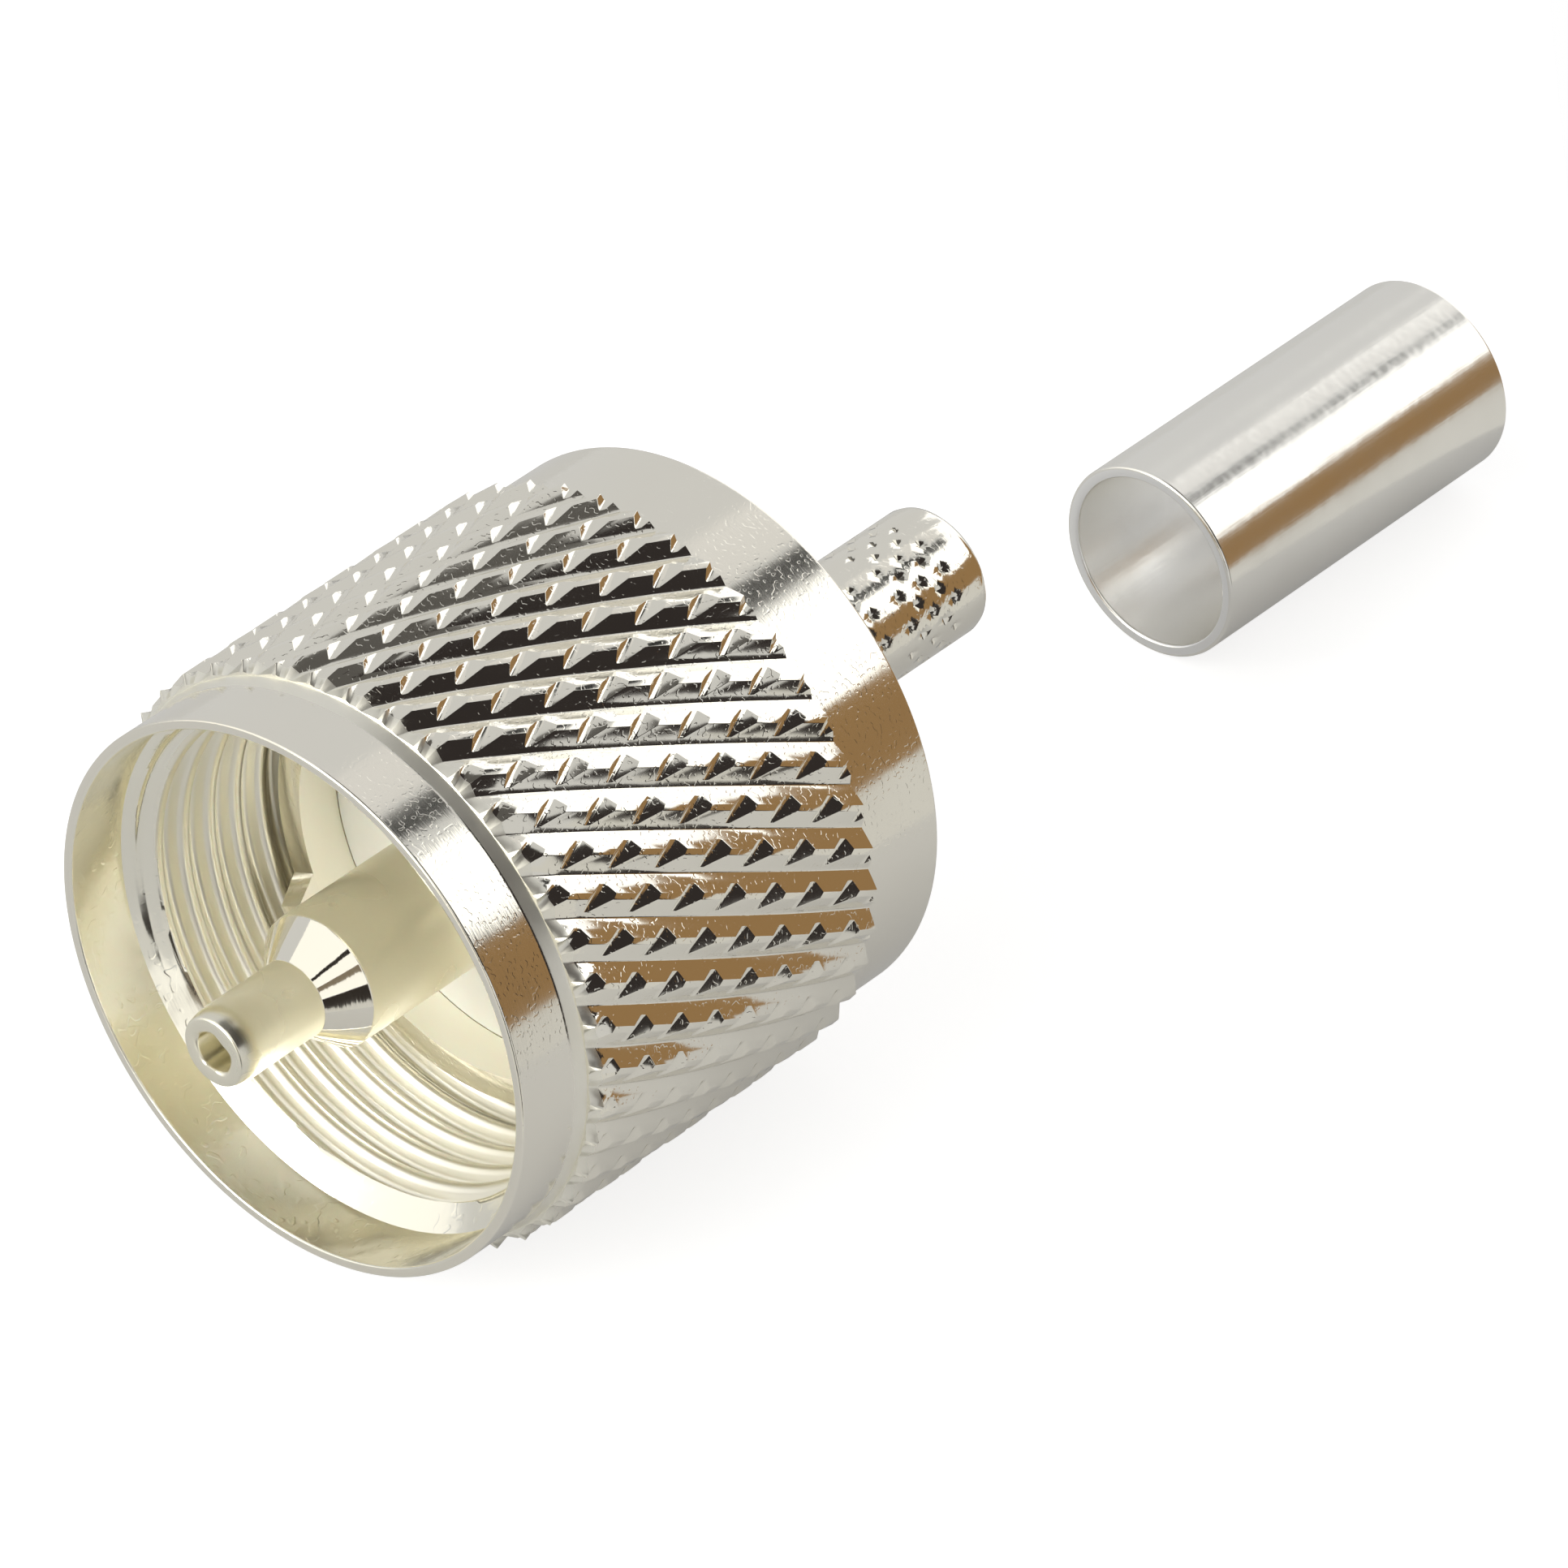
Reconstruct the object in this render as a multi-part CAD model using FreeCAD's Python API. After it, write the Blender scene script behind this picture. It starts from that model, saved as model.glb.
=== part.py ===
# Coaxial crimp plug with a knurled coupling nut for a 5/8-24 thread, and its
# crimp ferrule lying loose behind it on the same table.
# Millimetres. +X runs from the mating end to the cable end, +Z is up, and the
# origin is the centre of the coupling nut's front rim.
import FreeCAD, Part

import math
import os

# Coupling nut
NUT_LENGTH = 17.20
NUT_THREAD_RADIUS = 7.45     # crest of the internal thread, cut here as a plain bore
NUT_WALL = 1.65              # from the thread's crest out to the knurl's peaks
NUT_FRONT_BAND = 2.05        # plain band behind the rim
NUT_SHOULDER = 0.40          # shallow cone between the front band and the knurl
NUT_REAR_BAND = 3.17         # plain band at the cable end
NUT_FRONT_STEP = 0.095       # front band below the knurl's groove floor
NUT_SHOULDER_STEP = 0.03     # shoulder's top below the knurl's groove floor
NUT_REAR_STEP = 0.05         # rear band below the knurl's groove floor
NUT_RIM_WALL = 0.325         # wall of the plain mouth in front of the thread
NUT_MOUTH_DEPTH = 2.00
NUT_MOUTH_CONE = 0.25        # steep cone from the mouth down to the thread
NUT_THREAD_END = 9.60
NUT_RELIEF = 0.50            # thread relief beyond the thread's crest
NUT_RELIEF_RUN = 0.50
NUT_LIP = 2.60               # length of the inner lip that the body's hub turns in
NUT_LIP_HEIGHT = 1.87        # lip inside the thread's crest
NUT_EDGE = 0.10

# Diamond knurl: one family of deep grooves, and shallower notches across them
KNURL_TEETH = 42
KNURL_GROOVE_LEAD = 26.9     # degrees from the axis, turning with +X
KNURL_NOTCH_LEAD = 24.2      # degrees from the axis, turning the other way
KNURL_GROOVE_DEPTH = 0.43
KNURL_NOTCH_SHARE = 0.64     # notch depth as a share of the groove depth
KNURL_PEAK_X = 8.98          # one peak's place along the nut
KNURL_PEAK_TURN = 136.4      # and round it, degrees from +Y towards +Z

# Plug body: front shell, flange, hub and crimp barrel, turned in one piece
SHELL_LENGTH = 5.50          # from the flange to the shell's rim
SHELL_GAP = 0.50             # shell inside the nut's thread
SHELL_WALL = 0.80
SHELL_EDGE = 0.10
TOOTH_COUNT = 2
TOOTH_TURN = -34.6           # first tooth, degrees from +Y towards +Z
TOOTH_HEIGHT = 0.86
TOOTH_TOP_WIDTH = 1.40
TOOTH_FLANK = 0.57
FLANGE_LENGTH = 2.00
FLANGE_CLEARANCE = 0.20      # flange below the thread's crest
FLANGE_GAP = 0.10            # flange to the nut's lip
HUB_CLEARANCE = 0.08         # running clearance in the nut's lip
HUB_END_INSET = 0.20         # hub's rear face inside the nut's rear rim
BARREL_LENGTH = 10.20        # from the hub's rear face
BARREL_BORE_RADIUS = 1.55
BARREL_WALL = 0.50
BARREL_END_CHAMFER = 0.30

# Pitted grip bands on the barrel
PIT_TURNS = 14
PIT_ROW_STEP = 0.475
PIT_HALF_LENGTH = 0.24
PIT_HALF_WIDTH = 0.28
PIT_DEPTH = 0.18
PIT_OVERCUT = 0.10
BAND_ROWS = 5
REAR_BAND_INSET = 3.40       # first pit row of the rear band, from the barrel's end
FRONT_BAND_INSET = 6.45      # first pit row of the front band, from the barrel's end
PIT_TURN = 7.0

# Insulator
INSULATOR_RECESS = 1.50      # its face behind the shell's rim
INSULATOR_DISC = 3.50
INSULATOR_TAIL = 3.50
INSULATOR_TAIL_RADIUS = 2.60
SEAT_CLEARANCE = 0.02

# Centre pin
PIN_RADIUS = 2.05
PIN_SHANK = 7.31             # in front of the insulator
PIN_CONE = 1.05
PIN_NOSE_RADIUS = 1.165
PIN_NOSE = 3.23
PIN_TIP_RADIUS = 1.06
PIN_TIP_TAPER = 0.50
PIN_TIP_CHAMFER = 0.08
PIN_BORE_RADIUS = 0.60
PIN_STEM_WALL = 0.50
PIN_STEM = 6.00

# Crimp ferrule, lying on the table in line with the plug
FERRULE_LENGTH = 13.10
FERRULE_WALL = 0.39
BRAID_SPACE = 0.70           # room for the cable's braid and jacket over the barrel
FERRULE_GAP = 10.83          # barrel's end to the ferrule's front face
FERRULE_SIDE = 0.90
FERRULE_EDGE = 0.14

AXIS = FreeCAD.Vector(1, 0, 0)
ORIGIN = FreeCAD.Vector(0, 0, 0)
TOUCH = 1e-6

# Sizes that follow from the ones above
nut_crest_radius = NUT_THREAD_RADIUS + NUT_WALL
groove_floor_radius = nut_crest_radius - KNURL_GROOVE_DEPTH
front_band_radius = groove_floor_radius - NUT_FRONT_STEP
shoulder_radius = groove_floor_radius - NUT_SHOULDER_STEP
rear_band_radius = groove_floor_radius - NUT_REAR_STEP
mouth_radius = front_band_radius - NUT_RIM_WALL
knurl_start = NUT_FRONT_BAND + NUT_SHOULDER
knurl_end = NUT_LENGTH - NUT_REAR_BAND
lip_front = NUT_LENGTH - NUT_LIP
lip_radius = NUT_THREAD_RADIUS - NUT_LIP_HEIGHT
flange_rear = lip_front - FLANGE_GAP
flange_front = flange_rear - FLANGE_LENGTH
flange_radius = NUT_THREAD_RADIUS - FLANGE_CLEARANCE
shell_front = flange_front - SHELL_LENGTH
shell_radius = NUT_THREAD_RADIUS - SHELL_GAP
shell_bore_radius = shell_radius - SHELL_WALL
hub_radius = lip_radius - HUB_CLEARANCE
hub_end = NUT_LENGTH - HUB_END_INSET
barrel_end = hub_end + BARREL_LENGTH
barrel_radius = BARREL_BORE_RADIUS + BARREL_WALL
insulator_front = shell_front + INSULATOR_RECESS
pocket_floor = insulator_front + INSULATOR_DISC
pocket_end = pocket_floor + INSULATOR_TAIL
pin_stem_radius = PIN_BORE_RADIUS + PIN_STEM_WALL
table = -nut_crest_radius


def chamfered_wire(corners, closed=True):
    """Straight edges through (x, radius, chamfer) corners."""
    points = [FreeCAD.Vector(x, 0, radius) for x, radius, chamfer in corners]
    count = len(points)
    outline = []
    for i, (x, radius, chamfer) in enumerate(corners):
        at_end = not closed and i in (0, count - 1)
        if chamfer == 0 or at_end:
            outline.append(points[i])
            continue
        back = points[i - 1] - points[i]
        ahead = points[(i + 1) % count] - points[i]
        reach = min(chamfer, 0.45 * back.Length, 0.45 * ahead.Length)
        back.normalize()
        ahead.normalize()
        outline.append(points[i] + back * reach)
        outline.append(points[i] + ahead * reach)
    if closed:
        outline.append(outline[0])
    return Part.makePolygon(outline)


def turned(corners):
    """A solid of revolution about X from a closed profile."""
    return Part.Face(chamfered_wire(corners)).revolve(ORIGIN, AXIS, 360)


def round_axis(x, radius, turn):
    """The point at a radius and a turn in radians, from +Y towards +Z."""
    return FreeCAD.Vector(x, radius * math.cos(turn), radius * math.sin(turn))


def clipped(polygon, limit, side):
    """The part of a flat polygon where x is above (side 1) or below (side -1) a limit."""
    kept = []
    for i, here in enumerate(polygon):
        before = polygon[i - 1]
        depth_here = side * (here.x - limit)
        depth_before = side * (before.x - limit)
        if min(depth_here, depth_before) < -TOUCH and max(depth_here, depth_before) > TOUCH:
            kept.append(before + (here - before) * (depth_before / (depth_before - depth_here)))
        if depth_here >= -TOUCH:
            kept.append(here)
    return kept


def knurl_polygons():
    """The knurl's facets between its two end planes, eight to each diamond."""
    step = 2 * math.pi / KNURL_TEETH
    groove_turn = math.tan(math.radians(KNURL_GROOVE_LEAD)) / nut_crest_radius
    notch_turn = math.tan(math.radians(KNURL_NOTCH_LEAD)) / nut_crest_radius
    diamond = step / (groove_turn + notch_turn)
    notch_floor = KNURL_GROOVE_DEPTH * (1 - KNURL_NOTCH_SHARE)
    near = (1 - KNURL_NOTCH_SHARE) / 2
    far = 1 - near

    def place(across_grooves, across_notches, height):
        along = (across_notches - across_grooves) * diamond
        turn = math.radians(KNURL_PEAK_TURN) + step * (across_grooves - 0.5) + groove_turn * along
        return round_axis(KNURL_PEAK_X + along, groove_floor_radius + height, turn)

    first = math.floor((knurl_start - KNURL_PEAK_X) / diamond) - 1
    last = math.ceil((knurl_end - KNURL_PEAK_X) / diamond) + 1
    polygons = []
    for row in range(first, last + 1):
        for tooth in range(KNURL_TEETH):
            u, v = tooth, tooth + row
            peak = place(u + 0.5, v + 0.5, KNURL_GROOVE_DEPTH)
            left = [place(u, v, 0), place(u, v + 1, 0)]
            right = [place(u + 1, v, 0), place(u + 1, v + 1, 0)]
            low = [place(u + near, v, notch_floor), place(u + far, v, notch_floor)]
            high = [place(u + near, v + 1, notch_floor), place(u + far, v + 1, notch_floor)]
            facets = [
                (left[0], peak, left[1]), (left[0], low[0], peak), (left[1], peak, high[0]),
                (right[0], right[1], peak), (right[0], peak, low[1]), (right[1], high[1], peak),
                (low[0], low[1], peak), (high[0], peak, high[1]),
            ]
            for facet in facets:
                kept = clipped(clipped(list(facet), knurl_start, 1), knurl_end, -1)
                if len(kept) > 2:
                    polygons.append(kept)
    return polygons


def end_ring(polygons, shell, x, radius):
    """The flat ring that closes the knurl at one end plane, down to the turned band."""
    outline = {}
    for point in (p for polygon in polygons for p in polygon if abs(p.x - x) < TOUCH):
        turn = round(math.atan2(point.z, point.y), 6)
        outline[turn] = point
    corners = [outline[turn] for turn in sorted(outline)]
    circle = next(
        edge for edge in shell.Edges
        if isinstance(edge.Curve, Part.Circle)
        and abs(edge.Curve.Center.x - x) < TOUCH and abs(edge.Curve.Radius - radius) < TOUCH
    )
    wires = [Part.makePolygon(corners + corners[:1]), Part.Wire([circle])]
    return Part.makeFace(wires, "Part::FaceMakerBullseye")


def coupling_nut():
    relief_radius = NUT_THREAD_RADIUS + NUT_RELIEF
    inside_and_bands = chamfered_wire([
        (knurl_start, shoulder_radius, 0),
        (NUT_FRONT_BAND, front_band_radius, 0),
        (0, front_band_radius, NUT_EDGE),
        (0, mouth_radius, NUT_EDGE / 2),
        (NUT_MOUTH_DEPTH, mouth_radius, 0),
        (NUT_MOUTH_DEPTH + NUT_MOUTH_CONE, NUT_THREAD_RADIUS, 0),
        (NUT_THREAD_END, NUT_THREAD_RADIUS, 0),
        (NUT_THREAD_END + NUT_RELIEF_RUN, relief_radius, 0),
        (lip_front, relief_radius, 0),
        (lip_front, lip_radius, NUT_EDGE),
        (NUT_LENGTH, lip_radius, NUT_EDGE),
        (NUT_LENGTH, rear_band_radius, NUT_EDGE),
        (knurl_end, rear_band_radius, 0),
    ], closed=False)
    shell = inside_and_bands.revolve(ORIGIN, AXIS, 360)
    polygons = knurl_polygons()
    faces = [Part.Face(Part.makePolygon(p + p[:1])) for p in polygons]
    faces.append(end_ring(polygons, shell, knurl_start, shoulder_radius))
    faces.append(end_ring(polygons, shell, knurl_end, rear_band_radius))
    skin = Part.Compound(faces + shell.Faces)
    skin.sewShape(1e-5)
    nut = Part.Solid(skin.Shells[0])
    if nut.Volume < 0:
        nut.reverse()
    return nut


def tooth(turn):
    """One locating tooth with sloped flanks, standing on the shell's rim."""
    top = shell_front - TOOTH_HEIGHT
    ring = turned([
        (top, shell_bore_radius, 0),
        (top, shell_radius - SHELL_EDGE, 0),
        (shell_front + SHELL_EDGE, shell_radius - SHELL_EDGE, 0),
        (shell_front + SHELL_EDGE, shell_bore_radius, 0),
    ])
    half_top = TOOTH_TOP_WIDTH / 2
    half_foot = half_top + TOOTH_FLANK
    outline = [
        FreeCAD.Vector(top, 0, -half_top),
        FreeCAD.Vector(top, 0, half_top),
        FreeCAD.Vector(shell_front, 0, half_foot),
        FreeCAD.Vector(shell_front + SHELL_EDGE, 0, half_foot),
        FreeCAD.Vector(shell_front + SHELL_EDGE, 0, -half_foot),
        FreeCAD.Vector(shell_front, 0, -half_foot),
    ]
    wedge = Part.Face(Part.makePolygon(outline + outline[:1])).extrude(FreeCAD.Vector(0, 2 * shell_radius, 0))
    wedge.rotate(ORIGIN, AXIS, turn)
    return ring.common(wedge)


def pit(x, turn):
    """A small four-sided pit, as a pyramid whose point lies inside the barrel's wall."""
    spread = (PIT_DEPTH + PIT_OVERCUT) / PIT_DEPTH
    top = barrel_radius + PIT_OVERCUT
    half_turn = PIT_HALF_WIDTH * spread / top
    corners = [
        round_axis(x - PIT_HALF_LENGTH * spread, top, turn),
        round_axis(x, top, turn - half_turn),
        round_axis(x + PIT_HALF_LENGTH * spread, top, turn),
        round_axis(x, top, turn + half_turn),
    ]
    point = round_axis(x, barrel_radius - PIT_DEPTH, turn)
    sides = [[corners[i], corners[(i + 1) % 4], point] for i in range(4)]
    lids = [[corners[0], corners[1], corners[3]], [corners[1], corners[2], corners[3]]]
    faces = [Part.Face(Part.makePolygon(side + side[:1])) for side in sides + lids]
    pyramid = Part.Solid(Part.makeShell(faces))
    if pyramid.Volume < 0:
        pyramid.reverse()
    return pyramid


def barrel_pits():
    """Two bands of staggered pits that grip the braid."""
    pits = []
    for first_row in (barrel_end - REAR_BAND_INSET, barrel_end - FRONT_BAND_INSET):
        for row in range(BAND_ROWS):
            for n in range(PIT_TURNS):
                turn = math.radians(PIT_TURN) + 2 * math.pi * (n + 0.5 * (row % 2)) / PIT_TURNS
                pits.append(pit(first_row + row * PIT_ROW_STEP, turn))
    return pits


def plug_body():
    body = turned([
        (shell_front, shell_bore_radius, 0),
        (shell_front, shell_radius, SHELL_EDGE),
        (flange_front, shell_radius, 0),
        (flange_front, flange_radius, SHELL_EDGE),
        (flange_rear, flange_radius, SHELL_EDGE),
        (flange_rear, hub_radius, 0),
        (hub_end, hub_radius, SHELL_EDGE),
        (hub_end, barrel_radius, SHELL_EDGE),
        (barrel_end, barrel_radius, BARREL_END_CHAMFER),
        (barrel_end, BARREL_BORE_RADIUS, 0),
        (pocket_end, BARREL_BORE_RADIUS, 0),
        (pocket_end, INSULATOR_TAIL_RADIUS, 0),
        (pocket_floor, INSULATOR_TAIL_RADIUS, 0),
        (pocket_floor, shell_bore_radius, 0),
    ])
    teeth = [tooth(TOOTH_TURN + n * 360 / TOOTH_COUNT) for n in range(TOOTH_COUNT)]
    return body.fuse(teeth).cut(barrel_pits()).removeSplitter()


def insulator():
    hole = pin_stem_radius + SEAT_CLEARANCE
    return turned([
        (insulator_front, hole, 0),
        (insulator_front, shell_bore_radius - SEAT_CLEARANCE, 0),
        (pocket_floor, shell_bore_radius - SEAT_CLEARANCE, 0),
        (pocket_floor, INSULATOR_TAIL_RADIUS - SEAT_CLEARANCE, 0),
        (pocket_end, INSULATOR_TAIL_RADIUS - SEAT_CLEARANCE, 0),
        (pocket_end, hole, 0),
    ])


def centre_pin():
    shank_front = insulator_front - PIN_SHANK
    nose_end = shank_front - PIN_CONE
    tip = nose_end - PIN_NOSE
    stem_end = insulator_front + PIN_STEM
    return turned([
        (tip, PIN_BORE_RADIUS, 0),
        (tip, PIN_TIP_RADIUS, PIN_TIP_CHAMFER),
        (tip + PIN_TIP_TAPER, PIN_NOSE_RADIUS, 0),
        (nose_end, PIN_NOSE_RADIUS, 0),
        (shank_front, PIN_RADIUS, 0),
        (insulator_front, PIN_RADIUS, 0),
        (insulator_front, pin_stem_radius, 0),
        (stem_end, pin_stem_radius, 0),
        (stem_end, PIN_BORE_RADIUS, 0),
    ])


def crimp_ferrule():
    inner = barrel_radius + BRAID_SPACE
    outer = inner + FERRULE_WALL
    front = barrel_end + FERRULE_GAP
    tube = turned([
        (front, inner, FERRULE_EDGE),
        (front, outer, FERRULE_EDGE),
        (front + FERRULE_LENGTH, outer, FERRULE_EDGE),
        (front + FERRULE_LENGTH, inner, FERRULE_EDGE),
    ])
    tube.translate(FreeCAD.Vector(0, FERRULE_SIDE, table + outer))
    return tube


os.makedirs("parts", exist_ok=True)
for make in (coupling_nut, plug_body, insulator, centre_pin, crimp_ferrule):
    solid = make()
    print(make.__name__, "valid", solid.isValid(), "solids", len(solid.Solids), "mm3", round(solid.Volume, 2))
    solid.exportStep(f"parts/{make.__name__}.step")
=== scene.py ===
# %% [markdown]
# # A silver-plated coaxial crimp plug
# This lesson dresses a coaxial plug for a 5/8-24 thread: a knurled coupling nut, a turned body with
# a pitted crimp barrel, a hollow pin in a white insulator, and a crimp ferrule lying behind it.
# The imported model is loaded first, because every piece is made to sit exactly where its solid is.

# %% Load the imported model
import math

import bmesh
import bpy
from mathutils import Matrix, Vector


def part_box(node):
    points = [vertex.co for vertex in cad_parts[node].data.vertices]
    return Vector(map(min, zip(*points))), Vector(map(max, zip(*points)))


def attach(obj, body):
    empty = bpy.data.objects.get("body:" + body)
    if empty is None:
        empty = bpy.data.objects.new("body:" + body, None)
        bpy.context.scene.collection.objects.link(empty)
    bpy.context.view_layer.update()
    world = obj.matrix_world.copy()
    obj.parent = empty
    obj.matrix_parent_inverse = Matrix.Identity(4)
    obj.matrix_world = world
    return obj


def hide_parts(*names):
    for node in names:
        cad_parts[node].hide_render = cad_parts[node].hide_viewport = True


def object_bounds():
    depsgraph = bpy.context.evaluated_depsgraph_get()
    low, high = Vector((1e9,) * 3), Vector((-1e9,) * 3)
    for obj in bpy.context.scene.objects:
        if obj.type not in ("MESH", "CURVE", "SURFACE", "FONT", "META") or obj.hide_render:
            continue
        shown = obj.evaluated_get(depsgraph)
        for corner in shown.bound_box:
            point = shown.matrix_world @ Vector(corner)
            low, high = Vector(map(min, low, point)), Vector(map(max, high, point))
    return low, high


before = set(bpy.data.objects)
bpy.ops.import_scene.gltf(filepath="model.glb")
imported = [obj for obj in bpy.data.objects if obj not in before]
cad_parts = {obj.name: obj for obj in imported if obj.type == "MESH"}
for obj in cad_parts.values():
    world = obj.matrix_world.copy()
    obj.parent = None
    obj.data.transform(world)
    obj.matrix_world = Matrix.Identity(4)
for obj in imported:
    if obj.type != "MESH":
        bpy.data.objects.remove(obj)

solid_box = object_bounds()
print("the solids reach from", solid_box[0], "to", solid_box[1])

# %% [markdown]
# ## Measures and small helpers
# The object is small, so its sizes are written in millimetres and each finished mesh is turned into
# metres at once. The nut's axis is the X axis, with the mating end at X = 0, so a turned piece is a
# profile of (x, radius) corners that is spun about X.

# %% Units, the axis and colours
MM = 0.001
AXIS = Vector((1, 0, 0))
CENTRE = Vector((0, 0, 0))
ROUND_STEPS = 192            # faces around a turned piece
EDGE_STEPS = 3               # faces across a rounded edge
SHARP_ANGLE = math.radians(38)
TINY = 1e-4                  # millimetres


def linear(colour):
    """A hex colour, as a screen shows it, as the linear colour that a shader works in."""
    levels = [int(colour[i:i + 2], 16) / 255 for i in (1, 3, 5)]
    return [c / 12.92 if c <= 0.04045 else ((c + 0.055) / 1.055) ** 2.4 for c in levels] + [1]


def radius_of(place):
    return math.hypot(place.y, place.z)


print("silver in linear light:", [round(c, 3) for c in linear("#F9F6EB")])

# %% [markdown]
# A lathe makes most of this plug. The spin operator does the same: it sweeps a row of vertices about
# the axis. Real edges are never razor sharp, and a mirror finish shows each edge as a thin bright
# line, so corners that carry an edge radius are bevelled after the spin. The rings of edges at a
# corner are found again by their place.

# %% A lathe
def ring_edges(bm, x, radius):
    """The edges of the circle at x with that radius."""
    def on_ring(v):
        return abs(v.co.x - x) < TINY and abs(radius_of(v.co) - radius) < TINY
    return [e for e in bm.edges if on_ring(e.verts[0]) and on_ring(e.verts[1])]


def turn(bm, corners, closed=False):
    """Spins (x, radius, edge radius) corners about the axis and rounds the corners that ask for it."""
    row = [bm.verts.new((x, 0, radius)) for x, radius, edge in corners]
    lines = [bm.edges.new(pair) for pair in zip(row, row[1:])]
    if closed:
        lines.append(bm.edges.new((row[-1], row[0])))
    bmesh.ops.spin(bm, geom=row + lines, cent=CENTRE, axis=AXIS, angle=math.tau,
                   steps=ROUND_STEPS, use_merge=True)
    for x, radius, edge in corners:
        if edge:
            bmesh.ops.bevel(bm, geom=ring_edges(bm, x, radius), offset=edge, offset_type="OFFSET",
                            segments=EDGE_STEPS, profile=0.5, affect="EDGES", material=-1)


print("a full turn takes", ROUND_STEPS, "steps and a rounded edge", EDGE_STEPS)

# %% [markdown]
# A finished piece is merged, its faces are turned outwards, and its sharp edges are marked. The
# Weighted Normal modifier then lets the large faces set the shading, so that a thin bevel rounds an
# edge without bending the reflection in the flat beside it.

# %% Finish a piece
def finish_piece(bm, name, body, node, materials):
    """Makes a mesh object in metres, with its place in its mesh, sets it under its body's empty and
    hides the solid it stands for.
    """
    bmesh.ops.remove_doubles(bm, verts=bm.verts, dist=TINY)
    bmesh.ops.recalc_face_normals(bm, faces=bm.faces)
    for face in bm.faces:
        face.smooth = True
    for edge in bm.edges:
        edge.smooth = edge.calc_face_angle(0) < SHARP_ANGLE
    mesh = bpy.data.meshes.new(name)
    open_edges = sum(edge.is_boundary for edge in bm.edges)
    bm.to_mesh(mesh)
    bm.free()
    mesh.transform(Matrix.Scale(MM, 4))
    for material in materials:
        mesh.materials.append(material)
    piece = bpy.data.objects.new(name, mesh)
    bpy.context.scene.collection.objects.link(piece)
    shading = piece.modifiers.new("even shading", "WEIGHTED_NORMAL")
    shading.keep_sharp = True
    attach(piece, body)
    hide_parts(node)
    print(name, "has", len(mesh.polygons), "faces and", open_edges, "open edges")


def paint_faces(bm, index, chosen):
    """Gives a material index to the faces whose centre passes a test."""
    for face in bm.faces:
        if chosen(face.calc_center_median()):
            face.material_index = index


# %% [markdown]
# ## One way to add a node
# Every material and the world are node trees. This one function adds a node, sets its settings, and
# fills its sockets: a socket given as a value is linked, and anything else is written into it.

# %% Add a node
def add(tree, kind, sockets=None, **settings):
    node = tree.nodes.new(kind)
    for name, value in settings.items():
        setattr(node, name, value)
    for name, value in (sockets or {}).items():
        if isinstance(value, bpy.types.NodeSocket):
            tree.links.new(value, node.inputs[name])
        else:
            node.inputs[name].default_value = value
    return node


def per_mm(size):
    """The scale of a pattern whose features are that many millimetres across."""
    return 1 / (size * MM)


def new_tree(name):
    material = bpy.data.materials.new(name)
    material.use_nodes = True
    material.node_tree.nodes.clear()
    return material, material.node_tree


print("a pattern with features of 1 mm has a scale of", per_mm(1))

# %% [markdown]
# ## Silver plating
# The brass parts are silver plated. Silver is the whitest of the metals, with a trace of yellow that
# grows where light bounces from wall to wall, which is why the inside of the nut looks creamy. Its
# look comes from four things on top of the colour: how polished the face is, the ripple that
# plating leaves over a turned or rolled face, the fine marks of the tool, and small dents. Each bump
# has a real size: ripples and dents of some tenths of a millimetre, and tool marks of a few
# hundredths, drawn a little coarser than the real ones so that they show.

# %% The silver materials
PATCH_SIZE = 2.6             # millimetres across the patches where the polish changes
PATCH_LOW = 0.3              # the noise levels between which a patch goes from smooth to dull
PATCH_HIGH = 0.7
DENT_RIM = 0.60              # the noise levels at a dent's rim and at its floor
DENT_FLOOR = 0.70


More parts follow.
